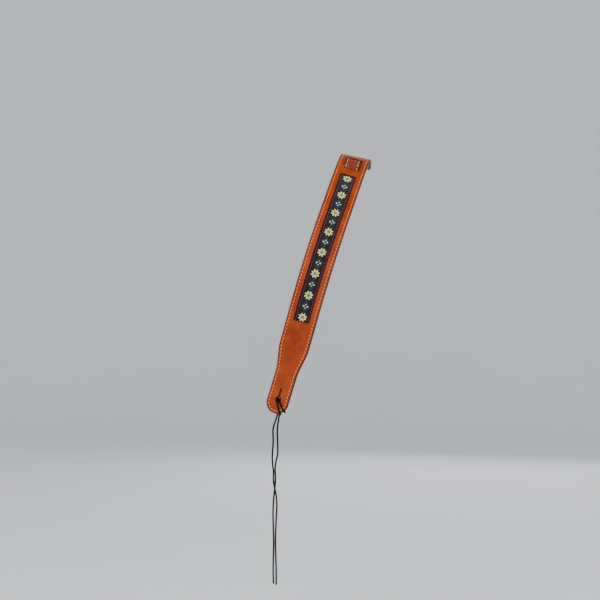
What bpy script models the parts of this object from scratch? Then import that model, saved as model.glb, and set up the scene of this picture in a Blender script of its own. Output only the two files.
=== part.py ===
"""Leather shoulder strap for an instrument, draped over a shoulder.

Every leather, ribbon and thread piece is drawn flat, in the strap's own measures: u runs along the strap from
the crest of the shoulder (front is positive), v runs across it and h goes up through its thickness from the
underside of the pad. The flat pieces are cut crosswise at shared stations and then laid along one bent line,
so layers that are flat against each other stay so.
"""

import math

import bmesh
import bpy
from mathutils import Matrix, Vector

MM = 0.001

# The draped line: arcs of (length mm, bend degrees, twist degrees), outwards from the crest of the shoulder.
CREST_DROP = 11.5
CREST_YAW = -6.4
FRONT_ARCS = (
    (30, 25, -3.5), (30, 17, -2.5), (40, 11, -2), (50, 6, 0), (60, 10, 3.5),
    (60, 12.5, 4.5), (70, 7.5, 4), (70, -0.5, 3), (50, -4.5, 3), (72, 0, 0),
)
BACK_ARCS = ((30, 24, 10), (40, 26, 4), (40, 25, -6), (40, 17.5, -6), (292, 0, 0))
STATION_LENGTH = 15
STATION_BEND = 6
STATION_TWIST = 1.5
LANES = (-13.5, 0, 13.5)

# Pad: two layers of leather with a woven ribbon between them.
PAD_REAR = -36
PAD_TIP = 520
PAD_WIDTH = 52
TAB_WIDTH = 38.5
TAPER = (402, 454)
TAPER_STEPS = 8
REAR_CORNER = 4
REAR_CORNER_STITCHED = 1.5
REAR_SEAM_INSET = 2
BACKING_THICK = 1.2
FACE_THICK = 2.2
LAYER_GAP = 0.3
PAD_THICK = BACKING_THICK + LAYER_GAP + FACE_THICK
RIBBON_WINDOW = (83, 361)
RIBBON_SHOWN = 25.8
RIBBON_MARGIN = 3.2
RIBBON_THICK = 0.4
RECESS_SPACE = 0.5
WINDOW_CORNER = 1
REAR_SLOT = (31.5, 44)
FRONT_SLOT = (53, 65.5)
SLOT_WIDTH = 27.6
SLOT_CORNER = 3
HOLE_U = 496.5
HOLE_RADIUS = 4
SLIT_END = 478
SLIT_WIDTH = 1

# Tail: a narrower strap of two layers, woven through the pad's slots and hanging down behind.
TAIL_FRONT = 105
TAIL_REAR = -440
TAIL_WIDTH = 26
TAIL_LAYER = 1.1
TAIL_GAP = 0.2
TAIL_THICK = 2 * TAIL_LAYER + TAIL_GAP
TAIL_MIDDLE = -2.95
TAIL_HOLE_U = -425
TAIL_HOLE_RADIUS = 3.5
TAIL_SLIT_END = -410
TAIL_CORNER = 4
TAIL_SEAM_CORNER = 2
HUMP_MIDDLE = 48.5
HUMP_TOP = 2.5
HUMP_SIDE = 15
HUMP_RISE = 10.2
HUMP_STEP = 1.8
HUMP_STEPS = 10
HINGE_U = -152
HINGE_GAP = 0.7

# Stitching: one thread on each side of the leather, in a row parallel to the edge.
THREAD = 0.6
THREAD_GAP = 0.2
PAD_STITCH_INSET = 4.5
TAIL_STITCH_INSET = 3.2

# Lace: one round lace, hitched through the button hole, with two loose ends.
LACE = 2.9
LACE_PIVOT = (521, 4.8, -5.8)
HITCH_ROUTE = (
    (521, 3.0, -5.8), (516.5, 2.6, -5.8), (512.5, 2.1, -5.5), (508.6, 1.0, -3.3), (504.5, -0.4, -2.1),
    (499, -1.6, -2.2), (495.6, -1.75, -0.9), (494.8, -1.75, 1.85), (496, -1.6, 4.8), (500.5, -0.2, 5.9),
    (507.5, 3.8, 6.0), (513.6, 7.5, 6.3), (517.3, 9.6, 5.4), (519, 10.6, 3.9), (519.3, 10.8, 1.85),
    (518.9, 10.5, -0.2), (517.3, 9.2, -1.9), (515, 6, -2.6), (513.6, 2.6, -2.4), (512, -0.8, -2.3),
    (509.3, -3.6, -2.9), (506.4, -3.9, -4.6), (504.6, -1.6, -5.7), (504.8, 2.2, -5.8), (506.6, 7.2, -5.0),
    (509, 12, -3.2), (511.6, 15.2, -2.1), (513.4, 16.9, -0.4), (513.4, 17, 1.85), (513.2, 16.9, 3.95),
    (511.8, 15.3, 5.6), (508.4, 12.4, 6.3), (501, 5.8, 5.9), (496.6, 2.2, 4.9), (494.8, 1.75, 1.85),
    (495.6, 1.75, -0.9), (499, 2.3, -2.2), (504.5, 3.4, -2.1), (508.6, 4.8, -3.3), (512.5, 5.8, -5.4),
    (516.5, 6.2, -5.9), (521, 6.6, -5.8),
)
# Loose ends of the lace: (across, away, down) in mm from the hitch's lower end.
LEFT_TAIL = (
    (0, 0, 0), (-1.6, -0.6, -5), (-4.4, -1.4, -13), (-6.8, -1.9, -22), (-6.9, -2.0, -31), (-6.6, -2.0, -42),
    (-7.3, -2.0, -54), (-8.2, -2.0, -68), (-7.6, -2.0, -80), (-6.2, -2.0, -93), (-6.2, -2.0, -108),
    (-4.0, -2.0, -121), (-1.4, -2.0, -134), (-0.6, -1.8, -150), (-1.6, -1.4, -170), (-2.4, -1.2, -192),
    (-2.8, -1.2, -215), (-2.2, -1.1, -238), (-1.6, -1.1, -260), (-1.8, -1.1, -281),
)
RIGHT_TAIL = (
    (0, 0, 0), (-0.8, 0.5, -5), (-2.2, 1.2, -13), (-3.0, 1.6, -22), (-3.0, 1.8, -31), (-2.6, 1.9, -42),
    (-2.2, 2.0, -54), (-2.6, 2.0, -64), (-5.0, 2.1, -74), (-6.6, 2.1, -86), (-6.2, 2.2, -100),
    (-6.6, 2.2, -114), (-8.2, 2.0, -128), (-9.6, 1.8, -144), (-10.2, 1.6, -162), (-9.8, 1.5, -184),
    (-9.2, 1.5, -208), (-9.6, 1.4, -232), (-10.0, 1.4, -254), (-9.6, 1.4, -278),
)
LACE_STEP = 7
HITCH_STEP = 2.2
LACE_SPACE = 1.6


def walk(arcs, sign):
    """Stations along one side of the crest, each (u, centre, along, across, out)."""
    across = Matrix.Rotation(math.radians(CREST_YAW), 3, "Z") @ Vector(
        (math.cos(math.radians(CREST_DROP)), 0, -math.sin(math.radians(CREST_DROP)))
    )
    along = Matrix.Rotation(math.radians(CREST_YAW), 3, "Z") @ Vector((0, -1, 0))
    out = along.cross(across)
    centre = -out * (TAIL_MIDDLE - TAIL_THICK / 2 - THREAD - THREAD_GAP)
    u = 0.0
    stations = [(u, centre.copy(), along.copy(), across.copy(), out.copy())]
    for length, bend, twist in arcs:
        shares = (length / STATION_LENGTH, abs(bend) / STATION_BEND, abs(twist) / STATION_TWIST)
        steps = math.ceil(max(shares))
        for _ in range(steps):
            half_bend = Matrix.Rotation(sign * math.radians(bend / steps / 2), 3, across)
            along = half_bend @ along
            centre = centre + sign * along * length / steps
            along = half_bend @ along
            turn = Matrix.Rotation(sign * math.radians(twist / steps), 3, along)
            across = turn @ across
            out = along.cross(across)
            u += sign * length / steps
            stations.append((u, centre.copy(), along.copy(), across.copy(), out.copy()))
    return stations


STATIONS = list(reversed(walk(BACK_ARCS, -1)))[:-1] + walk(FRONT_ARCS, 1)


def drape(u, v, h):
    """The place in metres of a point given in the strap's own millimetres."""
    index = 0
    while index < len(STATIONS) - 2 and u > STATIONS[index + 1][0]:
        index += 1
    first, second = STATIONS[index], STATIONS[index + 1]
    part = (u - first[0]) / (second[0] - first[0])
    centre = first[1].lerp(second[1], part)
    across = first[3].lerp(second[3], part)
    out = first[4].lerp(second[4], part)
    return (centre + across * v + out * h) * MM


def hump(u):
    """Height and slope of the tail's middle where it climbs over the bar between the slots."""
    reach = (HUMP_TOP + HUMP_SIDE - abs(u - HUMP_MIDDLE)) / HUMP_SIDE
    reach = min(max(reach, 0.0), 1.0)
    side = -1 if u > HUMP_MIDDLE else 1
    slope = side * 6 * reach * (1 - reach) * HUMP_RISE / HUMP_SIDE
    return TAIL_MIDDLE + HUMP_RISE * reach * reach * (3 - 2 * reach), slope


def drape_tail(u, v, t):
    """The same for the tail: t goes up through its thickness from its middle."""
    height, slope = hump(u)
    size = math.hypot(1, slope)
    return drape(u - t * slope / size, v, height + t / size)


def arc(centre_u, centre_v, radius, start, end, steps):
    """Points on an arc, angles in degrees from the +u direction towards +v."""
    points = []
    for step in range(steps + 1):
        angle = math.radians(start + (end - start) * step / steps)
        points.append((centre_u + radius * math.cos(angle), centre_v + radius * math.sin(angle)))
    return points


def rectangle(u_range, width, radius, steps=3):
    """A rounded rectangle centred across the strap."""
    low, high, half = u_range[0] + radius, u_range[1] - radius, width / 2 - radius
    return (
        arc(high, half, radius, 0, 90, steps) + arc(low, half, radius, 90, 180, steps)
        + arc(low, -half, radius, 180, 270, steps) + arc(high, -half, radius, 270, 360, steps)
    )


def pad_side(inset):
    """The pad's +v edge from its rear end to its round tab, drawn in by an inset."""
    half, tab_half = PAD_WIDTH / 2, TAB_WIDTH / 2
    corner = REAR_CORNER_STITCHED if inset else REAR_CORNER
    shift_u = REAR_SEAM_INSET if inset else 0
    shift_v = inset - REAR_CORNER + corner if inset else 0
    points = arc(PAD_REAR + REAR_CORNER, half - REAR_CORNER, corner, 180, 90, 3)
    points = [(u + shift_u, v - shift_v) for u, v in points]
    for step in range(TAPER_STEPS + 1):
        part = step / TAPER_STEPS
        eased = part * part * (3 - 2 * part)
        points.append((TAPER[0] + (TAPER[1] - TAPER[0]) * part, half - inset + (tab_half - half) * eased))
    return points + arc(PAD_TIP - tab_half, 0, tab_half - inset, 90, 0, 8)


def mirrored(points):
    """A closed outline from its +v half, which starts at the rear and ends on the middle line."""
    return points + [(u, -v) for u, v in reversed(points[:-1])]


def keyhole(hole_u, radius, slit_end):
    """A round button hole with a narrow slit running from it up the strap."""
    way = -1 if slit_end < hole_u else 1
    half = SLIT_WIDTH / 2
    open_angle = math.degrees(math.asin(half / radius))
    middle = 180 if way < 0 else 0
    round_part = arc(hole_u, 0, radius, middle + open_angle, middle + 360 - open_angle, 16)
    side = half if way < 0 else -half
    return round_part + [(slit_end - way * half, side), (slit_end, 0), (slit_end - way * half, -side)]


def tail_outline(inset, ends):
    """The tail's outline between two u values; a round end at the rear, a rounded square end in front."""
    half = TAIL_WIDTH / 2 - inset
    rear, front = ends
    if rear == TAIL_REAR:
        return [(front, -half), (front, half)] + arc(rear + TAIL_WIDTH / 2, 0, half, 90, 270, 12)
    corner = TAIL_SEAM_CORNER if inset else TAIL_CORNER
    high = front - inset
    return (
        [(rear, half)] + arc(high - corner, half - corner, corner, 90, 0, 3)
        + arc(high - corner, corner - half, corner, 0, -90, 3) + [(rear, -half)]
    )


def new_material(name, colour, roughness, metallic=0.0):
    material = bpy.data.materials.new(name)
    material.use_nodes = True
    shader = material.node_tree.nodes["Principled BSDF"]
    shader.inputs["Base Color"].default_value = (*colour, 1)
    shader.inputs["Roughness"].default_value = roughness
    shader.inputs["Metallic"].default_value = metallic
    return material


def as_mesh(obj, name, welded=1e-7):
    """The evaluated object as plain mesh data, with the object removed."""
    bpy.context.view_layer.update()
    evaluated = obj.evaluated_get(bpy.context.evaluated_depsgraph_get())
    mesh = bpy.data.meshes.new_from_object(evaluated)
    mesh.name = name
    bm = bmesh.new()
    bm.from_mesh(mesh)
    bmesh.ops.transform(bm, matrix=obj.matrix_world, verts=bm.verts)
    bmesh.ops.remove_doubles(bm, verts=bm.verts, dist=welded)
    bm.to_mesh(mesh)
    bm.free()
    bpy.data.objects.remove(obj)
    return mesh


def flat_piece(name, outlines, low, high):
    """A flat plate in millimetres from closed outlines: the first is its edge, the others are holes."""
    curve = bpy.data.curves.new(name, "CURVE")
    curve.dimensions = "2D"
    curve.fill_mode = "BOTH"
    curve.extrude = (high - low) / 2
    for outline in outlines:
        spline = curve.splines.new("POLY")
        spline.points.add(len(outline) - 1)
        for point, (u, v) in zip(spline.points, outline):
            point.co = (u, v, 0, 1)
        spline.use_cyclic_u = True
    obj = bpy.data.objects.new(name + "_flat", curve)
    obj.location.z = (low + high) / 2
    bpy.context.scene.collection.objects.link(obj)
    return as_mesh(obj, name, welded=1e-4)


def cut_recess(mesh, u_range, width, low, high):
    """The plate with a shallow pocket cut in it for the ribbon."""
    size = Matrix.Diagonal((u_range[1] - u_range[0], width, high - low, 1))
    middle = Matrix.Translation(((u_range[0] + u_range[1]) / 2, 0, (low + high) / 2))
    bm = bmesh.new()
    bmesh.ops.create_cube(bm, size=1, matrix=middle @ size)
    cutter = bpy.data.objects.new(mesh.name + "_recess_cutter", bpy.data.meshes.new("recess_cutter"))
    bm.to_mesh(cutter.data)
    bm.free()
    cutter.hide_render = True
    cutter.display_type = "WIRE"
    cutters.objects.link(cutter)
    plate = bpy.data.objects.new(mesh.name + "_plate", mesh)
    bpy.context.scene.collection.objects.link(plate)
    boolean = plate.modifiers.new("recess", "BOOLEAN")
    boolean.operation = "DIFFERENCE"
    boolean.solver = "EXACT"
    boolean.object = cutter
    result = as_mesh(plate, mesh.name, welded=1e-4)
    bpy.data.objects.remove(cutter)
    return result


def lay(mesh, cuts, place):
    """Cuts a flat plate crosswise at the given u values and lengthwise at the lanes, and lays it in place."""
    bm = bmesh.new()
    bm.from_mesh(mesh)
    for axis, values in ((0, cuts), (1, LANES)):
        for value in values:
            places = [vert.co[axis] for vert in bm.verts]
            if min(places) + 0.05 < value < max(places) - 0.05:
                everything = bm.verts[:] + bm.edges[:] + bm.faces[:]
                normal = Vector([1 - axis, axis, 0])
                bmesh.ops.bisect_plane(
                    bm, geom=everything, dist=1e-4, plane_co=normal * value, plane_no=normal
                )
    for edge in bm.edges:
        start, end = (vert.co for vert in edge.verts)
        on_cut = abs(start.x - end.x) < 1e-3 and any(abs(start.x - cut) < 1e-3 for cut in cuts)
        on_lane = abs(start.y - end.y) < 1e-3 and any(abs(start.y - lane) < 1e-3 for lane in LANES)
        edge.seam = on_cut or on_lane
    bmesh.ops.dissolve_limit(bm, angle_limit=0.002, verts=bm.verts, edges=bm.edges, delimit={"SEAM"})
    bmesh.ops.triangulate(bm, faces=bm.faces)
    bmesh.ops.recalc_face_normals(bm, faces=bm.faces)
    for vert in bm.verts:
        vert.co = place(*vert.co)
    bm.to_mesh(mesh)
    bm.free()
    return mesh


def add(name, mesh, material, smooth=False):
    """One finished piece of the strap."""
    obj = bpy.data.objects.new(name, mesh)
    mesh.materials.clear()
    mesh.materials.append(material)
    if smooth:
        mesh.shade_smooth()
    strap.objects.link(obj)
    return obj


def tube(name, points, diameter, closed, resolution):
    """A round cord or thread along points given in metres."""
    curve = bpy.data.curves.new(name, "CURVE")
    curve.dimensions = "3D"
    curve.bevel_depth = diameter * MM / 2
    curve.bevel_resolution = resolution
    curve.use_fill_caps = not closed
    spline = curve.splines.new("POLY")
    spline.points.add(len(points) - 1)
    for point, place in zip(spline.points, points):
        point.co = (*place, 1)
    spline.use_cyclic_u = closed
    obj = bpy.data.objects.new(name + "_path", curve)
    bpy.context.scene.collection.objects.link(obj)
    return as_mesh(obj, name)


def with_cuts(points, cuts, closed):
    """A flat path with a point added wherever it crosses a cut."""
    result = []
    count = len(points) if closed else len(points) - 1
    for index in range(count):
        start, end = points[index], points[(index + 1) % len(points)]
        result.append(start)
        parts = []
        for cut in cuts:
            if min(start[0], end[0]) + 0.3 < cut < max(start[0], end[0]) - 0.3:
                parts.append((cut - start[0]) / (end[0] - start[0]))
        for part in sorted(parts):
            result.append(tuple(a + (b - a) * part for a, b in zip(start, end)))
    return result if closed else result + [points[-1]]


def smooth_route(points, step):
    """Points every step or so along a smooth curve through the given ones."""
    route = [Vector(point) for point in points]
    result = [route[0]]
    for index in range(len(route) - 1):
        before = route[max(index - 1, 0)]
        start, end = route[index], route[index + 1]
        after = route[min(index + 2, len(route) - 1)]
        pieces = max(1, round((end - start).length / step))
        for piece in range(1, pieces + 1):
            t = piece / pieces
            result.append(0.5 * (
                2 * start + (end - before) * t + (2 * before - 5 * start + 4 * end - after) * t * t
                + (3 * start - before - 3 * end + after) * t * t * t
            ))
    return result


for leftover in list(bpy.data.objects):
    bpy.data.objects.remove(leftover, do_unlink=True)
strap = bpy.data.collections.new("instrument_strap")
bpy.context.scene.collection.children.link(strap)
cutters = bpy.data.collections.new("cutters")
bpy.context.scene.collection.children.link(cutters)

tan_leather = new_material("tan_leather", (0.30, 0.066, 0.011), 0.42)
lining_leather = new_material("lining_leather", (0.16, 0.055, 0.022), 0.7)
ribbon_cloth = new_material("ribbon_cloth", (0.03, 0.02, 0.025), 0.85)
waxed_thread = new_material("waxed_thread", (0.62, 0.30, 0.13), 0.6)
black_lace = new_material("black_lace", (0.012, 0.011, 0.012), 0.7)

pad_cuts = [station[0] for station in STATIONS] + [HOLE_U]
hump_cuts = [HUMP_MIDDLE + HUMP_STEP * step for step in range(-HUMP_STEPS, HUMP_STEPS + 1)]
tail_cuts = [cut for cut in pad_cuts if not hump_cuts[0] - 1 < cut < hump_cuts[-1] + 1]
tail_cuts += hump_cuts + [TAIL_HOLE_U]

# Pad layers
face_low = BACKING_THICK + LAYER_GAP
openings = [
    rectangle(REAR_SLOT, SLOT_WIDTH, SLOT_CORNER),
    rectangle(FRONT_SLOT, SLOT_WIDTH, SLOT_CORNER),
    keyhole(HOLE_U, HOLE_RADIUS, SLIT_END),
]
outline = mirrored(pad_side(0))
window = rectangle(RIBBON_WINDOW, RIBBON_SHOWN, WINDOW_CORNER, 2)
face = flat_piece("face_leather", [outline, window] + openings, face_low, PAD_THICK)
ribbon_range = (RIBBON_WINDOW[0] - RIBBON_MARGIN, RIBBON_WINDOW[1] + RIBBON_MARGIN)
recess_range = (ribbon_range[0] - RECESS_SPACE, ribbon_range[1] + RECESS_SPACE)
recess_top = face_low + RIBBON_THICK + LAYER_GAP
ribbon_width = RIBBON_SHOWN + 2 * RIBBON_MARGIN
face = cut_recess(face, recess_range, ribbon_width + 2 * RECESS_SPACE, face_low - 1, recess_top)
add("face_leather", lay(face, pad_cuts, drape), tan_leather)
backing = flat_piece("backing_leather", [outline] + openings, 0, BACKING_THICK)
add("backing_leather", lay(backing, pad_cuts, drape), lining_leather)
ribbon = flat_piece(
    "woven_ribbon", [rectangle(ribbon_range, ribbon_width, 0.5, 1)], face_low, face_low + RIBBON_THICK
)
add("woven_ribbon", lay(ribbon, pad_cuts, drape), ribbon_cloth)

# Pad stitching
pad_row = with_cuts(mirrored(pad_side(PAD_STITCH_INSET)), pad_cuts, True)
thread_lift = THREAD_GAP + THREAD / 2
for name, height in (("pad_top_thread", PAD_THICK + thread_lift), ("pad_bobbin_thread", -thread_lift)):
    path = [drape(u, v, height) for u, v in pad_row]
    add(name, tube(name, path, THREAD, True, 0), waxed_thread, smooth=True)

# Tail: the part woven into the pad and over the shoulder, then the part that hangs behind
tail_parts = (("woven", (HINGE_U + HINGE_GAP, TAIL_FRONT)), ("hanging", (TAIL_REAR, HINGE_U - HINGE_GAP)))
for part_name, ends in tail_parts:
    outlines = [tail_outline(0, ends)]
    if part_name == "hanging":
        outlines.append(keyhole(TAIL_HOLE_U, TAIL_HOLE_RADIUS, TAIL_SLIT_END))
    low, high = TAIL_GAP / 2, TAIL_THICK / 2
    layer = flat_piece("tail_face_" + part_name, outlines, low, high)
    add("tail_face_" + part_name, lay(layer, tail_cuts, drape_tail), tan_leather)
    layer = flat_piece("tail_lining_" + part_name, outlines, -high, -low)
    add("tail_lining_" + part_name, lay(layer, tail_cuts, drape_tail), lining_leather)
    row = tail_outline(TAIL_STITCH_INSET, ends)
    if part_name == "hanging":
        row = row[1:] + row[:1]
    row = with_cuts(row, tail_cuts, False)
    for side, height in (("top", high + thread_lift), ("bobbin", -high - thread_lift)):
        name = f"tail_{side}_thread_{part_name}"
        path = [drape_tail(u, v, height) for u, v in row]
        add(name, tube(name, path, THREAD, False, 0), waxed_thread, smooth=True)

# Lace
hitch_path = smooth_route([drape(*point) for point in HITCH_ROUTE], HITCH_STEP * MM)
add("lace_hitch", tube("lace_hitch", hitch_path, LACE, False, 2), black_lace, smooth=True)
down = Vector((0, 0, -1))
pivot = drape(*LACE_PIVOT)
for name, start, route in (
    ("lace_left", hitch_path[0], LEFT_TAIL), ("lace_right", hitch_path[-1], RIGHT_TAIL)
):
    first = start + down * LACE_SPACE * MM
    path = [first + point * MM for point in smooth_route(route, LACE_STEP)]
    piece = add(name, tube(name, path, LACE, False, 2), black_lace, smooth=True)
    piece.data.transform(Matrix.Translation(-pivot))
    piece.location = pivot

# The tail's hanging pieces turn about a line across the strap, level with its outer face.
hinge = bpy.data.objects.new("tail_hinge", None)
hinge.location = drape_tail(HINGE_U, 0, TAIL_THICK / 2)
strap.objects.link(hinge)
bpy.context.view_layer.update()
for piece in [obj for obj in strap.objects if obj.name.endswith("_hanging")]:
    piece.parent = hinge
    piece.matrix_parent_inverse = hinge.matrix_world.inverted()
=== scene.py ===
"""Leather instrument strap as it lies over a shoulder, in the order that it is put together."""

import math

import bmesh
import bpy
import numpy as np
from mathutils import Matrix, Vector


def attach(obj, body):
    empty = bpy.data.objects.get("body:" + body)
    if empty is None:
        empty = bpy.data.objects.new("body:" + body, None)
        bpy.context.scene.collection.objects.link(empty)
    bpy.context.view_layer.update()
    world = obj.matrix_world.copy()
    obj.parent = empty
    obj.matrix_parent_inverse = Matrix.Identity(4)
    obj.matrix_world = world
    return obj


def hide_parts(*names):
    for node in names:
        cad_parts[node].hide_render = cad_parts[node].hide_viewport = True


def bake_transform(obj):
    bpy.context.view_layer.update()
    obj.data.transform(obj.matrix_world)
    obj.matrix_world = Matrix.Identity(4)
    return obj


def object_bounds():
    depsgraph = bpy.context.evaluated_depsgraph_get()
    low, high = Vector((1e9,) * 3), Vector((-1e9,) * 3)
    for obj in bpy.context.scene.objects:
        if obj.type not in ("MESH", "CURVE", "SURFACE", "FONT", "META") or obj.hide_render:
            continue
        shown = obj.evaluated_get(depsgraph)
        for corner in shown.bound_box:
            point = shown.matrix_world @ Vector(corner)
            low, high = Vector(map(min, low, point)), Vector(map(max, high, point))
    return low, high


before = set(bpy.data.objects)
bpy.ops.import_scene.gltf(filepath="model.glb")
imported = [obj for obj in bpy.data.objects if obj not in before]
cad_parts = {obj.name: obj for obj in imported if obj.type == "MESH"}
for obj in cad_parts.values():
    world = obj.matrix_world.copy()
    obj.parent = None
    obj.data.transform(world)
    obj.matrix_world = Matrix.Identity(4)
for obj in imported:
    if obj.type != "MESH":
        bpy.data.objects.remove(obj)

cad_low, cad_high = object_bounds()

# ---------------------------------------------------------------------------------------------------------
# Camera: level and square on, at chest height in front of the wearer's shoulder, with a long lens so that the
# strap's far and near parts keep their true widths.
# ---------------------------------------------------------------------------------------------------------
CAMERA_PLACE = (-0.0987, -2.5, -0.2446)
CAMERA_LENS = 84.87
CAMERA_SENSOR = 36
camera_data = bpy.data.cameras.new("camera")
camera_data.lens = CAMERA_LENS
camera_data.sensor_width = CAMERA_SENSOR
camera = bpy.data.objects.new("camera", camera_data)
camera.location = CAMERA_PLACE
camera.rotation_euler = (math.radians(90), 0, 0)
bpy.context.scene.collection.objects.link(camera)
bpy.context.scene.camera = camera

# ---------------------------------------------------------------------------------------------------------
# Backing of the pad: a thin split of brown leather, flesh side out, with the same slots and hole as the face.
# Each flat piece is cut in the strap's own millimetres (u along it from the crest of the shoulder, v across
# it, h up from the pad's underside) and then laid on the strap's line.
# ---------------------------------------------------------------------------------------------------------
MM = 0.001
# The strap's line over the shoulder: stretches of length, bend and twist in degrees, walked from the crest.
CREST_DROP = 11.5
CREST_YAW = -6.4
CREST_HEIGHT = 4.95
FRONT_ARCS = (
    (30, 25, -3.5), (30, 17, -2.5), (40, 11, -2), (50, 6, 0), (60, 10, 3.5),
    (60, 12.5, 4.5), (70, 7.5, 4), (70, -0.5, 3), (50, -4.5, 3), (72, 0, 0),
)
BACK_ARCS = ((30, 24, 10), (40, 26, 4), (40, 25, -6), (40, 17.5, -6), (292, 0, 0))
STATION_LENGTH = 15
STATION_BEND = 6
STATION_TWIST = 1.5
PAD_REAR = -36
PAD_TIP = 520
PAD_WIDTH = 52
TAB_WIDTH = 38.5
TAPER = (402, 454)
REAR_CORNER = 4
BACKING_THICK = 1.2
REAR_SLOT = (31.5, 44)
FRONT_SLOT = (53, 65.5)
SLOT_WIDTH = 27.6
SLOT_CORNER = 3
HOLE_U = 496.5
HOLE_RADIUS = 4
SLIT_END = 478
SLIT_WIDTH = 1
PAD_STITCH_INSET = 4.5
LEAST_CORNER = 1
CORNER_STEPS = 5
TAPER_STEPS = 18
TIP_STEPS = 20
HOLE_STEPS = 36
THIN_ROUNDING = 0.3
ROUNDING_TURNS = (0, 25, 50, 90)
SHARPEST = 0.5
# Each layer is divided into cells this long and lanes this wide, so that it bends smoothly.
CELL = 2.4
LANE = 2.6
WELD = 1e-4
FLAT_TURN = 0.002
# Leather's look: random patches are given as how many to a metre, their detail and their roughness.
CLOUDS = (38, 5, 0.6)
FLECKS = (420, 4, 0.65)
CLOUD_RANGE = (0.32, 0.68)
FLECK_SHADE = 0.42
# The stitch groove is pressed in by a bump and darkened with painted shade.
GROOVE_HALF = 1.5
GROOVE_PAINTED_SHADE = 0.45
# A dark band along every cut edge and window rim: partly the burnished, dyed edge, partly painted shade.
RUB_AND_SHADE_START = 1.5
RUB_AND_SHADE_WIDTH = 0.6
RUB_AND_SHADE_FLECKS = 1.6
RUB_AND_SHADE_AMOUNT = 0.92
WAXED_ROUGHNESS = 0.42
WORN_ROUGHNESS = 0.22
GROOVE_BUMP = (0.8, 0.00035)
PORE_BUMP = (0.22, 0.0002)
FLECK_BUMP = (0.2, 0.00025)
LINING_PORES = 900
# Light, dark, and the dark of the edges, which also colours the painted shade along the cuts and in the
# stitch groove.
LINING_COLOURS = ((128, 78, 44), (88, 50, 28), (40, 20, 12))


def turned(vector, axis, degrees):
    """A vector turned about a unit axis."""
    angle = math.radians(degrees)
    return (
        vector * math.cos(angle) + np.cross(axis, vector) * math.sin(angle)
        + axis * np.dot(axis, vector) * (1 - math.cos(angle))
    )


def walk_shoulder(arcs, sign):
    """Stations down one side of the crest: rows of u, centre, along and across."""
    upright = np.array((0.0, 0.0, 1.0))
    drop = math.radians(CREST_DROP)
    across = turned(np.array((math.cos(drop), 0.0, -math.sin(drop))), upright, CREST_YAW)
    along = turned(np.array((0.0, -1.0, 0.0)), upright, CREST_YAW)
    centre = np.cross(along, across) * CREST_HEIGHT
    u = 0.0
    stations = [(u, *centre, *along, *across)]
    for length, bend, twist in arcs:
        shares = (length / STATION_LENGTH, abs(bend) / STATION_BEND, abs(twist) / STATION_TWIST)
        steps = math.ceil(max(shares))
        for _ in range(steps):
            along = turned(along, across, sign * bend / steps / 2)
            centre = centre + sign * along * length / steps
            along = turned(along, across, sign * bend / steps / 2)
            across = turned(across, along, sign * twist / steps)
            u += sign * length / steps
            stations.append((u, *centre, *along, *across))
    return stations


strap_line = np.array(list(reversed(walk_shoulder(BACK_ARCS, -1)))[:-1] + walk_shoulder(FRONT_ARCS, 1))


def drape(flat):
    """The places in metres of points (u, v, h) in the strap's own millimetres, on one smooth line."""
    flat = np.asarray(flat, float).reshape(-1, 3)
    stations = strap_line[:, 0]
    first = np.clip(np.searchsorted(stations, flat[:, 0], side="right") - 1, 0, len(stations) - 2)
    length = stations[first + 1] - stations[first]
    t = ((flat[:, 0] - stations[first]) / length)[:, None]
    length = length[:, None]
    start, end = strap_line[first, 1:4], strap_line[first + 1, 1:4]
    leave, arrive = strap_line[first, 4:7] * length, strap_line[first + 1, 4:7] * length
    centre = (
        start * (2 * t**3 - 3 * t**2 + 1) + leave * (t**3 - 2 * t**2 + t)
        + end * (3 * t**2 - 2 * t**3) + arrive * (t**3 - t**2)
    )
    along = (
        (start - end) * (6 * t**2 - 6 * t) + leave * (3 * t**2 - 4 * t + 1) + arrive * (3 * t**2 - 2 * t)
    )
    across = strap_line[first, 7:10] * (1 - t) + strap_line[first + 1, 7:10] * t
    out = np.cross(along, across)
    out /= np.linalg.norm(out, axis=1)[:, None]
    across /= np.linalg.norm(across, axis=1)[:, None]
    return (centre + across * flat[:, 1:2] + out * flat[:, 2:3]) * MM


def arc(centre_u, centre_v, radius, start, end, steps):
    """Points on an arc, angles in degrees from the +u direction towards +v."""
    angles = np.radians(np.linspace(start, end, steps + 1))
    return [(centre_u + radius * math.cos(a), centre_v + radius * math.sin(a)) for a in angles]


def rectangle(u_range, width, radius):
    """A rounded rectangle centred across the strap."""
    low, high, half = u_range[0] + radius, u_range[1] - radius, width / 2 - radius
    return (
        arc(high, half, radius, 0, 90, CORNER_STEPS) + arc(low, half, radius, 90, 180, CORNER_STEPS)
        + arc(low, -half, radius, 180, 270, CORNER_STEPS) + arc(high, -half, radius, 270, 360, CORNER_STEPS)
    )


def mirrored(points):
    """A closed outline from its +v half, which starts at the rear and ends on the middle line."""
    return points + [(u, -v) for u, v in reversed(points[:-1])]


def pad_outline(inset):
    """The pad's outline with its tapered, round front tab, drawn in by an inset."""
    half, tab_half = PAD_WIDTH / 2, TAB_WIDTH / 2
    corner = max(REAR_CORNER - inset, LEAST_CORNER)
    points = arc(PAD_REAR + inset + corner, half - inset - corner, corner, 180, 90, CORNER_STEPS)
    for part in np.linspace(0, 1, TAPER_STEPS + 1):
        eased = part * part * (3 - 2 * part)
        points.append((TAPER[0] + (TAPER[1] - TAPER[0]) * part, half - inset + (tab_half - half) * eased))
    return mirrored(points + arc(PAD_TIP - tab_half, 0, tab_half - inset, 90, 0, TIP_STEPS))


def keyhole(hole_u, radius, slit_end):
    """A round button hole with a narrow slit running from it up the strap."""
    way = -1 if slit_end < hole_u else 1
    half = SLIT_WIDTH / 2
    open_angle = math.degrees(math.asin(half / radius))
    middle = 180 if way < 0 else 0
    round_part = arc(hole_u, 0, radius, middle + open_angle, middle + 360 - open_angle, HOLE_STEPS)
    side = half if way < 0 else -half
    return round_part + [(slit_end - way * half, side), (slit_end, 0), (slit_end - way * half, -side)]


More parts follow.
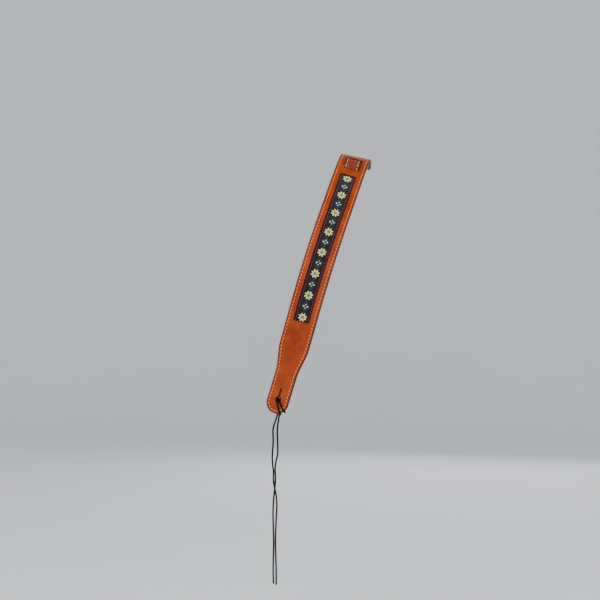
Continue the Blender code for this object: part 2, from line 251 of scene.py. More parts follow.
def drawn_in(loop, distance):
    """A closed outline moved to its left-hand side."""
    before, after = loop - np.roll(loop, 1, 0), np.roll(loop, -1, 0) - loop
    before /= np.linalg.norm(before, axis=1)[:, None]
    after /= np.linalg.norm(after, axis=1)[:, None]
    left = np.stack((-before[:, 1] - after[:, 1], before[:, 0] + after[:, 0]), 1)
    left /= np.linalg.norm(left, axis=1)[:, None]
    square = np.abs(left[:, 0] * -before[:, 1] + left[:, 1] * before[:, 0])
    return loop + left / np.maximum(square, SHARPEST)[:, None] * distance


def rounded_sides(low, high, rounding):
    """The section of a cut edge, from the underside up: pairs of inset and height."""
    turns = np.radians(ROUNDING_TURNS)
    lower = [(rounding * (1 - math.sin(a)), low + rounding * (1 - math.cos(a))) for a in turns]
    upper = [(inset, low + high - height) for inset, height in reversed(lower)]
    flat = 2 * rounding
    return [(flat, low)] + lower + upper + [(flat, high)]


def to_nearest(points, loops):
    """How far each flat point is from the nearest side of the loops, in millimetres."""
    best = np.full(len(points), np.inf)
    for loop in loops:
        for start, end in zip(loop, np.roll(loop, -1, 0)):
            step = end - start
            t = np.clip(((points - start) @ step) / (step @ step), 0, 1)
            best = np.minimum(best, np.linalg.norm(points - start - t[:, None] * step, axis=1))
    return best


def finished(name, mesh, finish):
    """One piece of the strap, in its place, in one finish."""
    piece = bpy.data.objects.new(name, mesh)
    mesh.materials.clear()
    mesh.materials.append(finish)
    mesh.shade_smooth()
    bpy.context.scene.collection.objects.link(piece)
    return piece


def join_rings(bm, lower, upper):
    """A wall of faces between two closed rings of the same number of points."""
    for spot in range(len(lower)):
        beside = (spot + 1) % len(lower)
        bm.faces.new((lower[spot], lower[beside], upper[beside], upper[spot]))


def places_of(mesh):
    """The places of a mesh's points, a row for each."""
    places = np.empty(len(mesh.vertices) * 3)
    mesh.vertices.foreach_get("co", places)
    return places.reshape(-1, 3)


def keep_strap_mm(mesh, flat):
    """The flat places of a mesh's points, kept on it as a UV map in the strap's own millimetres."""
    corners = np.empty(len(mesh.loops), np.int32)
    mesh.loops.foreach_get("vertex_index", corners)
    mesh.uv_layers.new(name="strap_mm").data.foreach_set("uv", flat[corners, :2].ravel())


def cut_leather(name, outlines, low, high, rounding, place, finish, slot):
    """A layer of leather cut to its outlines (edge first, then holes), with rounded edges, laid in its place.

    Its flat places are kept on it, and its distances to its edge and to the nearest cut as attributes.
    """
    loops = []
    for index, outline in enumerate(outlines):
        loop = np.array(outline, float)
        ahead = np.roll(loop, -1, 0)
        turning = float((loop[:, 0] * ahead[:, 1] - ahead[:, 0] * loop[:, 1]).sum())
        loops.append(loop if (turning > 0) == (index == 0) else loop[::-1].copy())
    bm = bmesh.new()
    rims = ([], [])
    for loop in loops:
        rings = []
        for inset, height in rounded_sides(low, high, rounding):
            rings.append([bm.verts.new((u, v, height)) for u, v in drawn_in(loop, inset)])
        for lower, upper in zip(rings, rings[1:]):
            join_rings(bm, lower, upper)
        for rim, ring in zip(rims, (rings[0], rings[-1])):
            rim.extend(bm.edges.get((ring[spot - 1], ring[spot])) for spot in range(len(ring)))
    for rim in rims:
        bmesh.ops.triangle_fill(bm, use_beauty=True, edges=rim)
    reach = (loops[0].min(axis=0), loops[0].max(axis=0))
    for axis, step in ((0, CELL), (1, LANE)):
        count = math.ceil((reach[1][axis] - reach[0][axis]) / step)
        across = Vector((1 - axis, axis, 0))
        for value in np.linspace(reach[0][axis], reach[1][axis], count + 1)[1:-1]:
            everything = bm.verts[:] + bm.edges[:] + bm.faces[:]
            made = bmesh.ops.bisect_plane(
                bm, geom=everything, dist=WELD, plane_co=across * float(value), plane_no=across
            )
            for part in made["geom_cut"]:
                if isinstance(part, bmesh.types.BMEdge):
                    part.seam = True
    bmesh.ops.dissolve_limit(
        bm, angle_limit=FLAT_TURN, verts=bm.verts, edges=bm.edges, delimit={"SEAM"}
    )
    bmesh.ops.recalc_face_normals(bm, faces=bm.faces)
    mesh = bpy.data.meshes.new(name)
    bm.to_mesh(mesh)
    bm.free()
    flat = places_of(mesh)
    keep_strap_mm(mesh, flat)
    for key, near in (("to_edge", loops[:1]), ("to_cut", loops)):
        distances = mesh.attributes.new(key, "FLOAT", "POINT")
        distances.data.foreach_set("value", to_nearest(flat[:, :2], near))
    mesh.vertices.foreach_set("co", place(flat).ravel())
    mesh.update()
    return finished(name, mesh, finish)


def tint(red, green, blue):
    """A colour on a 255 scale as the shaders take it."""
    return tuple((part / 255) ** 2.2 for part in (red, green, blue)) + (1.0,)


def new_finish(name, **shine):
    """A new material, with the values that are the same all over set on its shader."""
    finish = bpy.data.materials.new(name)
    finish.use_nodes = True
    shader = finish.node_tree.nodes["Principled BSDF"]
    for socket, value in shine.items():
        shader.inputs[socket.replace("_", " ")].default_value = value
    return finish, finish.node_tree, shader


def node(tree, kind, inputs=(), **settings):
    """One node of a tree, its inputs linked to sockets or set to values."""
    made = tree.nodes.new(kind)
    for setting, value in settings.items():
        setattr(made, setting, value)
    for socket, value in dict(inputs).items():
        if isinstance(value, bpy.types.NodeSocket):
            tree.links.new(value, made.inputs[socket])
        else:
            made.inputs[socket].default_value = value
    return made


def work_out(tree, operation, *values, clamp=False):
    """The result of one sum on numbers or sockets."""
    return node(tree, "ShaderNodeMath", enumerate(values), operation=operation, use_clamp=clamp).outputs[0]


def band(tree, value, middle, half, softness=0.2):
    """1 where a value is at the middle, falling softly to 0 at half a width from it."""
    off = work_out(tree, "ABSOLUTE", work_out(tree, "SUBTRACT", value, middle))
    near = work_out(tree, "SUBTRACT", 1.0, work_out(tree, "DIVIDE", off, half), clamp=True)
    return work_out(tree, "SMOOTH_MIN", near, 1.0, softness, clamp=True)


def spots(tree, scale, detail=3.0, rough=0.55):
    """Soft random patches on the piece, from 0 to 1; scale is how many to a metre."""
    place = node(tree, "ShaderNodeTexCoord").outputs["Object"]
    made = node(tree, "ShaderNodeTexNoise", {
        "Vector": place, "Scale": scale, "Detail": detail, "Roughness": rough,
    })
    return made.outputs[0]


def shades(tree, value, *stops):
    """A value turned into colours; each stop is a place and a colour."""
    ramp = node(tree, "ShaderNodeValToRGB", {"Fac": value})
    while len(ramp.color_ramp.elements) < len(stops):
        ramp.color_ramp.elements.new(0.5)
    for element, (place, colour) in zip(ramp.color_ramp.elements, stops):
        element.position, element.color = place, colour
    return ramp.outputs["Color"]


def relief(tree, shader, *layers):
    """Bumps one over another; each layer is a height socket, its strength and its depth in metres."""
    normal = None
    for height, strength, depth in layers:
        inputs = {"Height": height, "Strength": strength, "Distance": depth}
        if normal is not None:
            inputs["Normal"] = normal
        normal = node(tree, "ShaderNodeBump", inputs).outputs["Normal"]
    tree.links.new(normal, shader.inputs["Normal"])


def mixed(tree, share, first, second, way="MIX"):
    """Two colours mixed by a share from 0 to 1."""
    made = node(tree, "ShaderNodeMix", data_type="RGBA", blend_type=way)
    for socket, value in ((made.inputs[0], share), (made.inputs[6], first), (made.inputs[7], second)):
        if isinstance(value, bpy.types.NodeSocket):
            tree.links.new(value, socket)
        else:
            socket.default_value = value
    return made.outputs[2]


def leather(name, light, dark, edge_and_shade_colour, groove, pores_to_metre, **shine):
    """Leather with mottled colour, grain, dark burnished edges with painted shade along every cut, and a
    pressed stitch groove darkened by painted shade.
    """
    finish, tree, shader = new_finish(name, **shine)
    to_edge = node(tree, "ShaderNodeAttribute", attribute_name="to_edge").outputs["Fac"]
    to_cut = node(tree, "ShaderNodeAttribute", attribute_name="to_cut").outputs["Fac"]
    clouds, flecks = spots(tree, *CLOUDS), spots(tree, *FLECKS)
    colour = shades(tree, clouds, (CLOUD_RANGE[0], dark), (CLOUD_RANGE[1], light))
    colour = mixed(
        tree, work_out(tree, "MULTIPLY", flecks, FLECK_SHADE), colour, edge_and_shade_colour, "MULTIPLY"
    )
    pressed = band(tree, to_edge, groove, GROOVE_HALF)
    # Painted shade darkens the pressed stitch groove.
    colour = mixed(tree, work_out(tree, "MULTIPLY", pressed, GROOVE_PAINTED_SHADE), colour, edge_and_shade_colour)
    # A dark band along each cut: partly the burnished edge, partly painted shade at the cut edges and window
    # rims.
    widened = work_out(tree, "MULTIPLY", flecks, RUB_AND_SHADE_FLECKS)
    rubbed_and_shaded = work_out(tree, "DIVIDE", to_cut, work_out(tree, "ADD", RUB_AND_SHADE_WIDTH, widened))
    rubbed_and_shaded = work_out(tree, "SUBTRACT", RUB_AND_SHADE_START, rubbed_and_shaded, clamp=True)
    colour = mixed(tree, work_out(tree, "MULTIPLY", rubbed_and_shaded, RUB_AND_SHADE_AMOUNT), colour, edge_and_shade_colour)
    tree.links.new(colour, shader.inputs["Base Color"])
    place = node(tree, "ShaderNodeTexCoord").outputs["Object"]
    pores = node(
        tree, "ShaderNodeTexVoronoi", {"Vector": place, "Scale": pores_to_metre}, feature="SMOOTH_F1"
    )
    wear = work_out(tree, "MULTIPLY", clouds, WORN_ROUGHNESS)
    tree.links.new(work_out(tree, "ADD", wear, WAXED_ROUGHNESS), shader.inputs["Roughness"])
    relief(
        tree, shader,
        (work_out(tree, "SUBTRACT", 1.0, pressed), *GROOVE_BUMP),
        (pores.outputs["Distance"], *PORE_BUMP),
        (flecks, *FLECK_BUMP),
    )
    return finish, tree, shader


lining_tints = [tint(*colour) for colour in LINING_COLOURS]
lining_leather = leather(
    "brown_lining_leather", *lining_tints, PAD_STITCH_INSET, LINING_PORES,
    Sheen_Weight=0.15, Specular_IOR_Level=0.25,
)[0]
pad_holes = [
    rectangle(REAR_SLOT, SLOT_WIDTH, SLOT_CORNER), rectangle(FRONT_SLOT, SLOT_WIDTH, SLOT_CORNER),
    keyhole(HOLE_U, HOLE_RADIUS, SLIT_END),
]
backing = cut_leather(
    "pad_backing", [pad_outline(0)] + pad_holes, 0, BACKING_THICK, THIN_ROUNDING, drape,
    lining_leather, "lining_leather",
)
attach(backing, "pad")
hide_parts("backing_leather")

# ---------------------------------------------------------------------------------------------------------
# Ribbon: a black jacquard ribbon with woven stars, dotted medallions and a dashed maroon line along each
# edge. Its margins are held between the two leathers, and its middle swells up into the window.
# ---------------------------------------------------------------------------------------------------------
RIBBON_WINDOW = (83, 361)
RIBBON_SHOWN = 25.8
RIBBON_MARGIN = 3.2
MARGIN_HEIGHTS = (1.22, 1.47)
RIBBON_RISE = 1.0
WEFT_PITCH = 0.55
WARP_PITCH = 0.5
SWELL_WIDTH = 5
SWELL_POWER = 2.5
# The pattern: places and half sizes from the middle line, or from the middle of a star or a medallion.
FIRST_STAR = 90
REPEAT = 37.7
LINE_FROM, LINE_TO = 9.9, 11.4
DASH_MIDDLE, DASH_HALF, DASH_PITCH, DASH_LONG = 10.65, 0.55, 3.1, 1.15
MEDALLION_LEAN, MEDALLION_POINT, MEDALLION_HALF = 0.9, 8.4, 6.2
STEM_MIDDLE, STEM_HALF, STEM_SIDE = 7.6, 1.2, 2.6
LEAF_MIDDLE, LEAF_HALF, LEAF_SIDE = 8.3, 1.0, 2.0
SIDE_DOT, SIDE_DOT_LONG, SIDE_DOT_WIDE = 3.2, 1.1, 1.35
NEXT_DOT, NEXT_DOT_LONG, NEXT_DOT_WIDE = 3.1, 0.85, 0.95
STAR_GROUND, STAR_EYE, STAR_EYE_SIDE = 4.6, 3.2, 2.8
PETALS, PETAL_MIDDLE, PETAL_LONG, PETAL_WIDE = 8, 4.8, 2.7, 1.3
# Painted shade where the yarns dip between their crossings.
SHADE_BETWEEN_YARNS = (0.55, 0.55, 0.55, 1)
YARN_BUMP = (0.6, 0.0002)
YARNS = {
    "black": tint(20, 19, 22), "cream": tint(255, 242, 128), "teal": tint(56, 128, 132),
    "green": tint(26, 52, 46), "navy": tint(30, 50, 62), "maroon": tint(56, 8, 20),
    "pink": tint(156, 66, 84), "olive": tint(92, 98, 54), "white": tint(232, 234, 228),
}


def yarn_colours(u, v):
    """The colour of the yarn that shows at each flat point of the ribbon."""
    colours = np.tile(np.array(YARNS["black"]), (len(u), 1))
    star = (u - FIRST_STAR + REPEAT / 2) % REPEAT - REPEAT / 2
    between = (u - FIRST_STAR) % REPEAT - REPEAT / 2

    def weave(where, yarn):
        colours[where] = YARNS[yarn]

    side = np.abs(v)
    weave((side > LINE_FROM) & (side < LINE_TO), "maroon")
    weave((np.abs(side - DASH_MIDDLE) < DASH_HALF) & ((u % DASH_PITCH) < DASH_LONG), "pink")
    pointed = np.abs(between) + side * MEDALLION_LEAN < MEDALLION_POINT
    weave(pointed & (np.maximum(np.abs(between), side) < MEDALLION_HALF), "green")
    weave((np.abs(np.abs(between) - STEM_MIDDLE) < STEM_HALF) & (side < STEM_SIDE), "navy")
    weave((np.abs(np.abs(star) - LEAF_MIDDLE) < LEAF_HALF) & (side < LEAF_SIDE), "navy")
    weave((between / SIDE_DOT_LONG) ** 2 + ((side - SIDE_DOT) / SIDE_DOT_WIDE) ** 2 < 1, "white")
    weave(((np.abs(between) - NEXT_DOT) / NEXT_DOT_LONG) ** 2 + (v / NEXT_DOT_WIDE) ** 2 < 1, "white")
    far, angle = np.hypot(star, v), np.arctan2(v, star)
    weave(far < STAR_GROUND, "olive")
    step = 2 * math.pi / PETALS
    off = np.abs((angle + math.pi) % step - step / 2)
    ahead, beside = far * np.cos(off), far * np.sin(off)
    weave(((ahead - PETAL_MIDDLE) / PETAL_LONG) ** 2 + (beside / PETAL_WIDE) ** 2 < 1, "cream")
    weave((far < STAR_EYE) & (np.maximum(np.abs(star), side) < STAR_EYE_SIDE), "teal")
    return colours


def turn_faces_out(mesh):
    """Every face of a closed mesh turned to point outwards."""
    bm = bmesh.new()
    bm.from_mesh(mesh)
    bmesh.ops.recalc_face_normals(bm, faces=bm.faces)
    bm.to_mesh(mesh)
    bm.free()


def ribbon_mesh():
    """A closed strip with one face for each crossing of the yarns, coloured face by face."""
    length = (RIBBON_WINDOW[0] - RIBBON_MARGIN, RIBBON_WINDOW[1] + RIBBON_MARGIN)
    half = RIBBON_SHOWN / 2 + RIBBON_MARGIN
    along = np.linspace(*length, math.ceil((length[1] - length[0]) / WEFT_PITCH) + 1)
    across = np.linspace(-half, half, math.ceil(2 * half / WARP_PITCH) + 1)
    u, v = (side.ravel() for side in np.meshgrid(along, across, indexing="ij"))
    from_ends = np.minimum(u - RIBBON_WINDOW[0], RIBBON_WINDOW[1] - u)
    inside = np.minimum(RIBBON_SHOWN / 2 - np.abs(v), from_ends)
    swell = np.clip(inside / SWELL_WIDTH, 0, 1)
    swell = RIBBON_RISE * (1 - (1 - swell) ** SWELL_POWER)
    sheets = [np.stack((u, v, swell + height), 1) for height in reversed(MARGIN_HEIGHTS)]
    rows, columns, layer = len(along), len(across), len(u)
    crossings = np.meshgrid(np.arange(rows - 1), np.arange(columns - 1), indexing="ij")
    row, column = (side.ravel() for side in crossings)
    first = row * columns + column
    top = np.stack((first, first + columns, first + columns + 1, first + 1), 1)
    faces = top.tolist() + (top[:, ::-1] + layer).tolist()
    border = (
        [r * columns for r in range(rows - 1)] + [(rows - 1) * columns + c for c in range(columns - 1)]
        + [r * columns + columns - 1 for r in range(rows - 1, 0, -1)] + list(range(columns - 1, 0, -1))
    )
    for start, end in zip(border, border[1:] + border[:1]):
        faces.append((end, start, start + layer, end + layer))
    mesh = bpy.data.meshes.new("patterned_ribbon")
    flat = np.concatenate(sheets)
    mesh.from_pydata(flat.tolist(), [], faces)
    keep_strap_mm(mesh, flat)
    middles = np.array([flat[list(face)].mean(axis=0) for face in faces])
    sizes = np.array([len(face) for face in faces])
    colours = np.repeat(yarn_colours(middles[:, 0], middles[:, 1]), sizes, axis=0)
    dyed = mesh.color_attributes.new("yarn", "FLOAT_COLOR", "CORNER")
    dyed.data.foreach_set("color", colours.ravel())
    mesh.vertices.foreach_set("co", drape(flat).ravel())
    turn_faces_out(mesh)
    return mesh


def strap_place(tree):
    """Sockets for a piece's own places along and across the flat strap, in millimetres."""
    flat = node(tree, "ShaderNodeUVMap", uv_map="strap_mm").outputs[0]
    split = node(tree, "ShaderNodeSeparateXYZ", {0: flat})
    return split.outputs[0], split.outputs[1]


ribbon_cloth, tree, shader = new_finish(
    "jacquard_ribbon", Sheen_Weight=0.3, Specular_IOR_Level=0.2, Roughness=0.75
)
yarn = node(tree, "ShaderNodeAttribute", attribute_name="yarn").outputs["Color"]
along, across = strap_place(tree)
wefts = work_out(tree, "SINE", work_out(tree, "MULTIPLY", along, 2 * math.pi / WEFT_PITCH))
warps = work_out(tree, "SINE", work_out(tree, "MULTIPLY", across, 2 * math.pi / WARP_PITCH))
yarns = work_out(tree, "MULTIPLY_ADD", work_out(tree, "MULTIPLY", wefts, warps), 0.5, 0.5)
# Painted shade darkens the weave between the yarns' crowns.
shaded = shades(tree, yarns, (0.0, SHADE_BETWEEN_YARNS), (0.6, (1, 1, 1, 1)))
tree.links.new(mixed(tree, 1.0, yarn, shaded, "MULTIPLY"), shader.inputs["Base Color"])
relief(tree, shader, (yarns, *YARN_BUMP))
ribbon = finished("patterned_ribbon", ribbon_mesh(), ribbon_cloth)
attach(ribbon, "pad")
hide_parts("woven_ribbon")

# ---------------------------------------------------------------------------------------------------------
# Face of the pad: vegetable-tanned leather dyed tan and waxed, with the ribbon's window, the tail's slots,
# the button hole and slit, and a plain lozenge mark pressed in above the tab.
# ---------------------------------------------------------------------------------------------------------
FACE_HEIGHTS = (1.5, 3.7)
MARK_U = 390
MARK_SIZE = (12, 9)
MARK_RINGS = ((1.0, 0.12), (0.62, 0.1), (0.0, 0.3))
MARK_SHADE = 0.5
MARK_BUMP = (0.9, 0.0004)
MARK_TINT = tint(74, 28, 8)
FACE_ROUNDING = 0.5
FACE_PORES = 1100
# The dark of the burnished edges, also used for the painted shade along the cuts and in the stitch groove,
# and for the flecks.
BURNT_EDGE_AND_SHADE = tint(42, 12, 2)
tan_leather, tree, shader = leather(
    "waxed_tan_leather", tint(178, 70, 0), tint(142, 48, 0), BURNT_EDGE_AND_SHADE, PAD_STITCH_INSET, FACE_PORES,
    Coat_Weight=0.03, Coat_Roughness=0.4, Specular_IOR_Level=0.18,
)
along, across = strap_place(tree)
off_u = work_out(tree, "ABSOLUTE", work_out(tree, "SUBTRACT", along, MARK_U))
off_v = work_out(tree, "ABSOLUTE", across)
lozenge = work_out(
    tree, "ADD", work_out(tree, "DIVIDE", off_u, MARK_SIZE[0]), work_out(tree, "DIVIDE", off_v, MARK_SIZE[1])
)
mark = 0.0
for middle, half in MARK_RINGS:
    mark = work_out(tree, "MAXIMUM", mark, band(tree, lozenge, middle, half))
plain = shader.inputs["Base Color"].links[0].from_socket
marked = mixed(tree, work_out(tree, "MULTIPLY", mark, MARK_SHADE), plain, MARK_TINT)
tree.links.new(marked, shader.inputs["Base Color"])
unmarked = shader.inputs["Normal"].links[0].from_socket
pressed_mark = node(tree, "ShaderNodeBump", {
    "Height": work_out(tree, "SUBTRACT", 1.0, mark), "Strength": MARK_BUMP[0], "Distance": MARK_BUMP[1],
    "Normal": unmarked,
})
tree.links.new(pressed_mark.outputs["Normal"], shader.inputs["Normal"])
face = cut_leather(
    "pad_face", [pad_outline(0), rectangle(RIBBON_WINDOW, RIBBON_SHOWN, LEAST_CORNER)] + pad_holes,
    *FACE_HEIGHTS, FACE_ROUNDING, drape, tan_leather, "tan_leather",
)
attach(face, "pad")
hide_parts("face_leather")

# ---------------------------------------------------------------------------------------------------------
# Stitching of the pad: saddle stitch in waxed linen thread, one slanted stitch to each 5.8 mm on the face
# and the same on the back, through both leathers, all round the edge.
# ---------------------------------------------------------------------------------------------------------
STITCH_PITCH = 5.8
STITCH_LONG = 4.5
STITCH_THICK = 1.35
STITCH_SLANT = 14
STITCH_LIFT = 0.12
STITCH_STRAY = 3
STITCH_RINGS = 9
STITCH_SIDES = 8
STITCH_END = 0.25
STITCH_FLATNESS = 0.75
STITCH_ARCH = 0.42
STITCH_DIVE = 0.22
PAD_SEED = 3


def stitch_pattern():
    """One stitch: a short thread that dives into the leather at both ends."""
    bm = bmesh.new()
    made = []
    for step in np.linspace(-1, 1, STITCH_RINGS):
        full = math.sqrt(max(0.0, 1 - step**4))
        fat = STITCH_THICK / 2 * (STITCH_END + (1 - STITCH_END) * full)
        height = STITCH_ARCH * (1 - step**2) - STITCH_DIVE
        angles = [2 * math.pi * spot / STITCH_SIDES for spot in range(STITCH_SIDES)]
        made.append([
            bm.verts.new((
                step * STITCH_LONG / 2, fat * math.cos(a), height + STITCH_FLATNESS * fat * math.sin(a)
            ))
            for a in angles
        ])
    for lower, upper in zip(made, made[1:]):
        join_rings(bm, lower, upper)
    bm.faces.new(list(reversed(made[0])))
    bm.faces.new(made[-1])
    bmesh.ops.recalc_face_normals(bm, faces=bm.faces)
    mesh = bpy.data.meshes.new("stitch_pattern")
    bm.to_mesh(mesh)
    bm.free()
    return bpy.data.objects.new("stitch_pattern", mesh)


def stitch_tree():
    """The tree that sews stitches at an even pitch along a flat row, each a little askew, and its inputs."""
    group = bpy.data.node_groups.new("stitch_row", "GeometryNodeTree")
    made = {}
    for title, kind in (
        ("Row", "NodeSocketGeometry"), ("Stitch", "NodeSocketObject"), ("Thread", "NodeSocketMaterial"),
        ("Pitch", "NodeSocketFloat"), ("Slant", "NodeSocketFloat"), ("Unevenness", "NodeSocketFloat"),
        ("Seed", "NodeSocketInt"),
    ):
        made[title] = group.interface.new_socket(title, in_out="INPUT", socket_type=kind).identifier
    group.interface.new_socket("Stitches", in_out="OUTPUT", socket_type="NodeSocketGeometry")
    given = node(group, "NodeGroupInput").outputs
    row = node(group, "GeometryNodeMeshToCurve", {"Mesh": given["Row"]}).outputs[0]
    row = node(
        group, "GeometryNodeResampleCurve", {"Curve": row, "Length": given["Pitch"]}, mode="LENGTH"
    ).outputs[0]
    ahead = node(group, "GeometryNodeInputTangent").outputs[0]
    facing = node(group, "FunctionNodeAlignRotationToVector", {"Vector": ahead}, axis="X").outputs[0]
    least = node(group, "ShaderNodeMath", {0: given["Unevenness"], 1: -1.0}, operation="MULTIPLY").outputs[0]
    stray = node(group, "FunctionNodeRandomValue", {"Seed": given["Seed"]}, data_type="FLOAT")
    group.links.new(least, stray.inputs[2])
    group.links.new(given["Unevenness"], stray.inputs[3])
    slant = node(
        group, "ShaderNodeMath", {0: given["Slant"], 1: stray.outputs[1]}, operation="ADD"
    ).outputs[0]
    tilt = node(group, "FunctionNodeEulerToRotation", {
        0: node(group, "ShaderNodeCombineXYZ", {"Z": slant}).outputs[0],
    }).outputs[0]
    facing = node(
        group, "FunctionNodeRotateRotation", {"Rotation": facing, "Rotate By": tilt}, rotation_space="LOCAL"
    ).outputs[0]
    stitch = node(group, "GeometryNodeObjectInfo", {"Object": given["Stitch"]}).outputs["Geometry"]
    laid = node(group, "GeometryNodeInstanceOnPoints", {
        "Points": row, "Instance": stitch, "Rotation": facing,
    }).outputs[0]
    real = node(group, "GeometryNodeRealizeInstances", {"Geometry": laid}).outputs[0]
    waxed = node(
        group, "GeometryNodeSetMaterial", {"Geometry": real, "Material": given["Thread"]}
    ).outputs[0]
    node(group, "NodeGroupOutput", {"Stitches": waxed})
    return group, made


def sewn_row(name, row, height, side, place, seed):
    """One closed row of stitches along a flat outline, on the upper (1) or lower (-1) side of a leather."""
    mesh = bpy.data.meshes.new(name + "_row")
    edges = [(spot, (spot + 1) % len(row)) for spot in range(len(row))]
    mesh.from_pydata([(u, v, 0) for u, v in row], edges, [])
    line = bpy.data.objects.new(name + "_row", mesh)
    bpy.context.scene.collection.objects.link(line)
    sewing = line.modifiers.new("sewing", "NODES")
    sewing.node_group = stitch_group
    for title, value in (
        ("Stitch", one_stitch), ("Thread", waxed_thread), ("Pitch", STITCH_PITCH),
        ("Slant", math.radians(STITCH_SLANT)), ("Unevenness", math.radians(STITCH_STRAY)),
        ("Seed", seed),
    ):
        sewing[stitch_inputs[title]] = value
    bpy.context.view_layer.update()
    evaluated = line.evaluated_get(bpy.context.evaluated_depsgraph_get())
    stitches = bpy.data.meshes.new_from_object(evaluated)
    stitches.name = name
    bpy.data.objects.remove(line)
    flat = places_of(stitches)
    flat[:, 2] = height + side * (flat[:, 2] + STITCH_LIFT)
    stitches.vertices.foreach_set("co", place(flat).ravel())
    turn_faces_out(stitches)
    return finished(name, stitches, waxed_thread)


waxed_thread, tree, shader = new_finish("waxed_linen_thread", Sheen_Weight=0.1, Specular_IOR_Level=0.35)
plies, patches = spots(tree, 2600, 2), spots(tree, 300)
tree.links.new(
    shades(tree, patches, (0.3, tint(226, 122, 56)), (0.7, tint(250, 164, 98))), shader.inputs["Base Color"]
)
tree.links.new(work_out(tree, "ADD", 0.4, work_out(tree, "MULTIPLY", plies, 0.3)), shader.inputs["Roughness"])
relief(tree, shader, (plies, 0.5, 0.0002))
stitch_group, stitch_inputs = stitch_tree()
one_stitch = stitch_pattern()
pad_row = pad_outline(PAD_STITCH_INSET)
for name, height, side, node_name in (
    ("pad_face_stitches", FACE_HEIGHTS[1], 1, "pad_top_thread"),
    ("pad_back_stitches", 0, -1, "pad_bobbin_thread"),
):
    row = sewn_row(name, pad_row, height, side, drape, PAD_SEED)
    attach(row, "pad")
    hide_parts(node_name)

# ---------------------------------------------------------------------------------------------------------
# Tail: a narrower strap of two leathers. It comes from under the pad, climbs through the rear slot, over the
# bar and down the front slot, and behind the shoulder it hangs free.
# ---------------------------------------------------------------------------------------------------------
TAIL_ENDS = (-440, 105)
TAIL_WIDTH = 26
TAIL_LAYERS = ((0.1, 1.2), (-1.2, -0.1))
TAIL_MIDDLE = -2.95
TAIL_HOLE_U = -425
TAIL_HOLE_RADIUS = 3.5
TAIL_SLIT_END = -410
TAIL_STITCH_INSET = 3.2
TAIL_CORNER = 4
HUMP_MIDDLE = 48.5
HUMP_TOP = 2.5
HUMP_SIDE = 15
HUMP_RISE = 10.2
HINGE_U = -152
HINGE_BEND = 56
HINGE_REACH = 60
HINGE_LEAN = 0.45
TAIL_END_STEPS = 24
TAIL_SEED = 5


def drape_tail(flat):
    """As drape, for the tail: its third number goes up through its thickness from its middle."""
    flat = np.asarray(flat, float).reshape(-1, 3)
    u, v, t = flat.T
    reach = np.clip((HUMP_TOP + HUMP_SIDE - np.abs(u - HUMP_MIDDLE)) / HUMP_SIDE, 0, 1)
    side = np.where(u > HUMP_MIDDLE, -1, 1)
    slope = side * 6 * reach * (1 - reach) * HUMP_RISE / HUMP_SIDE
    height = TAIL_MIDDLE + HUMP_RISE * reach * reach * (3 - 2 * reach)
    size = np.hypot(1, slope)
    return drape(np.stack((u - t * slope / size, v, height + t / size), 1))


def tail_outline(inset):
    """The tail's outline drawn in by an inset: a round end behind, a square end in front."""
    half, corner = TAIL_WIDTH / 2 - inset, max(TAIL_CORNER - inset, LEAST_CORNER)
    front = TAIL_ENDS[1] - inset - corner
    return (
        arc(TAIL_ENDS[0] + TAIL_WIDTH / 2, 0, half, 90, 270, TAIL_END_STEPS)
        + arc(front, corner - half, corner, -90, 0, CORNER_STEPS)
        + arc(front, half - corner, corner, 0, 90, CORNER_STEPS)
    )


def bend_at_shoulder(piece):
    """The piece's place baked into its points; the hinge where the tail leaves the shoulder is worked out but
    not applied.
    """
    hinge = drape_tail([(HINGE_U, 0, 0)])[0]
    away = drape_tail([(HINGE_U - HINGE_REACH, 0, 0)])[0] - hinge
    away = away / np.linalg.norm(away) + np.array((0, HINGE_LEAN, 0))
    away *= HINGE_BEND * MM / 2 / np.linalg.norm(away)
    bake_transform(piece)


tail_leather = leather(
    "waxed_tan_tail_leather", tint(164, 62, 0), tint(126, 40, 0), BURNT_EDGE_AND_SHADE, TAIL_STITCH_INSET, FACE_PORES,
    Coat_Weight=0.08, Coat_Roughness=0.3, Specular_IOR_Level=0.25,
)[0]
tail_lining_leather = leather(
    "brown_tail_lining", *lining_tints, TAIL_STITCH_INSET, LINING_PORES,
    Sheen_Weight=0.15, Specular_IOR_Level=0.25,
)[0]
tail_cuts = [tail_outline(0), keyhole(TAIL_HOLE_U, TAIL_HOLE_RADIUS, TAIL_SLIT_END)]
for name, heights, finish, slot in (
    ("tail_face", TAIL_LAYERS[0], tail_leather, "tan_leather"),
    ("tail_lining", TAIL_LAYERS[1], tail_lining_leather, "lining_leather"),
):
    piece = cut_leather(name, tail_cuts, *heights, THIN_ROUNDING, drape_tail, finish, slot)
    bend_at_shoulder(piece)
    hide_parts(name + "_woven", name + "_hanging")
tail_row = tail_outline(TAIL_STITCH_INSET)
for name, height, side, node_name in (
    ("tail_face_stitches", TAIL_LAYERS[0][1], 1, "tail_top_thread"),
    ("tail_back_stitches", TAIL_LAYERS[1][0], -1, "tail_bobbin_thread"),
):
    row = sewn_row(name, tail_row, height, side, drape_tail, TAIL_SEED)
    bend_at_shoulder(row)
    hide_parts(node_name + "_woven", node_name + "_hanging")
bpy.data.objects.remove(one_stitch)

